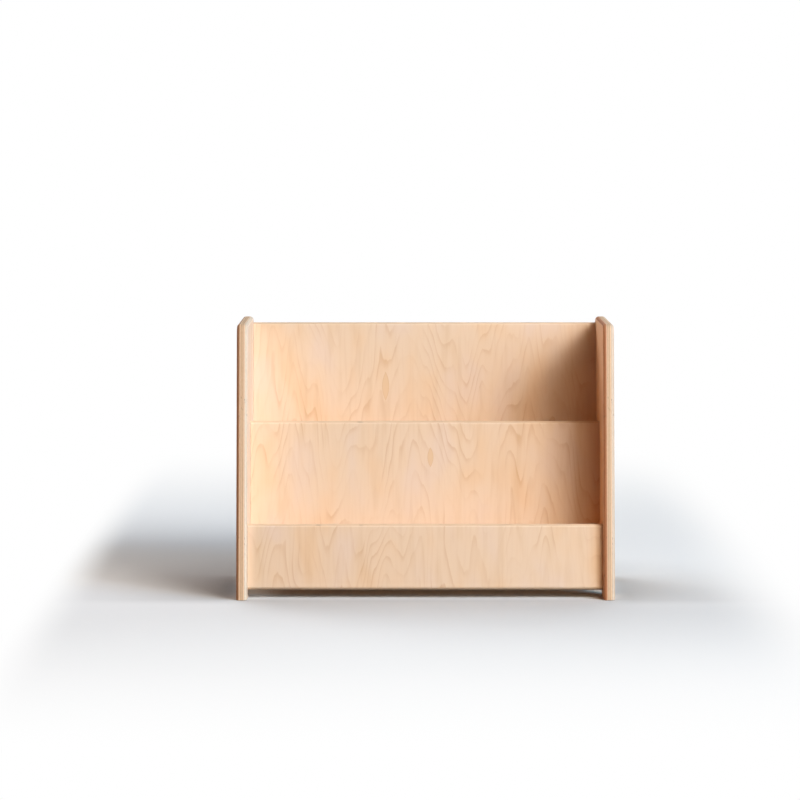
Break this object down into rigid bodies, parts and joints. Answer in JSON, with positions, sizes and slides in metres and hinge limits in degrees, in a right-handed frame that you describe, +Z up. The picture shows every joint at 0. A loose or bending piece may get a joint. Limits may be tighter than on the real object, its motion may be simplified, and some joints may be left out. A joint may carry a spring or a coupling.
{
  "type": "front-facing bookcase",
  "caption": "Low front-facing bookcase in clear-finished plywood: side panels with rounded corners and arched feet carry leaning boards that form stepped pockets for book covers.",
  "frame": {"origin": "on the floor, in the middle of the width and of the depth", "axes": "+Z up, +X along the width to the right of someone in front of it, +Y from the front to the back"},
  "size_m": [0.61, 0.3, 0.441],
  "materials": {
    "side_plywood": "clear satin lacquer over pale maple veneer, plies showing on the edges",
    "panel_plywood": "clear satin lacquer over pale maple veneer, upright grain",
    "shelf_plywood": "clear satin lacquer over pale maple veneer",
    "dowel_beech": "bare beech",
    "bolt_steel": "zinc plated",
    "nut_steel": "zinc plated"
  },
  "bodies": {
    "root": {"back_panel": "panel_plywood", "back_panel_barrel_nut_left_1": "nut_steel", "back_panel_barrel_nut_left_2": "nut_steel", "back_panel_barrel_nut_right_1": "nut_steel", "back_panel_barrel_nut_right_2": "nut_steel", "back_panel_bolt_left_1": "bolt_steel", "back_panel_bolt_left_2": "bolt_steel", "back_panel_bolt_right_1": "bolt_steel", "back_panel_bolt_right_2": "bolt_steel", "back_panel_dowel_left_1": "dowel_beech", "back_panel_dowel_left_2": "dowel_beech", "back_panel_dowel_right_1": "dowel_beech", "back_panel_dowel_right_2": "dowel_beech", "front_panel": "panel_plywood", "front_panel_barrel_nut_left_1": "nut_steel", "front_panel_barrel_nut_right_1": "nut_steel", "front_panel_bolt_left_1": "bolt_steel", "front_panel_bolt_right_1": "bolt_steel", "front_panel_dowel_left_1": "dowel_beech", "front_panel_dowel_left_2": "dowel_beech", "front_panel_dowel_right_1": "dowel_beech", "front_panel_dowel_right_2": "dowel_beech", "left_side_panel": "side_plywood", "lower_shelf": "shelf_plywood", "lower_shelf_barrel_nut_left_1": "nut_steel", "lower_shelf_barrel_nut_right_1": "nut_steel", "lower_shelf_bolt_left_1": "bolt_steel", "lower_shelf_bolt_right_1": "bolt_steel", "lower_shelf_dowel_left_1": "dowel_beech", "lower_shelf_dowel_right_1": "dowel_beech", "middle_panel": "panel_plywood", "middle_panel_barrel_nut_left_1": "nut_steel", "middle_panel_barrel_nut_left_2": "nut_steel", "middle_panel_barrel_nut_right_1": "nut_steel", "middle_panel_barrel_nut_right_2": "nut_steel", "middle_panel_bolt_left_1": "bolt_steel", "middle_panel_bolt_left_2": "bolt_steel", "middle_panel_bolt_right_1": "bolt_steel", "middle_panel_bolt_right_2": "bolt_steel", "middle_panel_dowel_left_1": "dowel_beech", "middle_panel_dowel_left_2": "dowel_beech", "middle_panel_dowel_right_1": "dowel_beech", "middle_panel_dowel_right_2": "dowel_beech", "right_side_panel": "side_plywood", "upper_shelf": "shelf_plywood", "upper_shelf_barrel_nut_left_1": "nut_steel", "upper_shelf_barrel_nut_right_1": "nut_steel", "upper_shelf_bolt_left_1": "bolt_steel", "upper_shelf_bolt_right_1": "bolt_steel", "upper_shelf_dowel_left_1": "dowel_beech", "upper_shelf_dowel_right_1": "dowel_beech"}
  },
  "joints": []
}
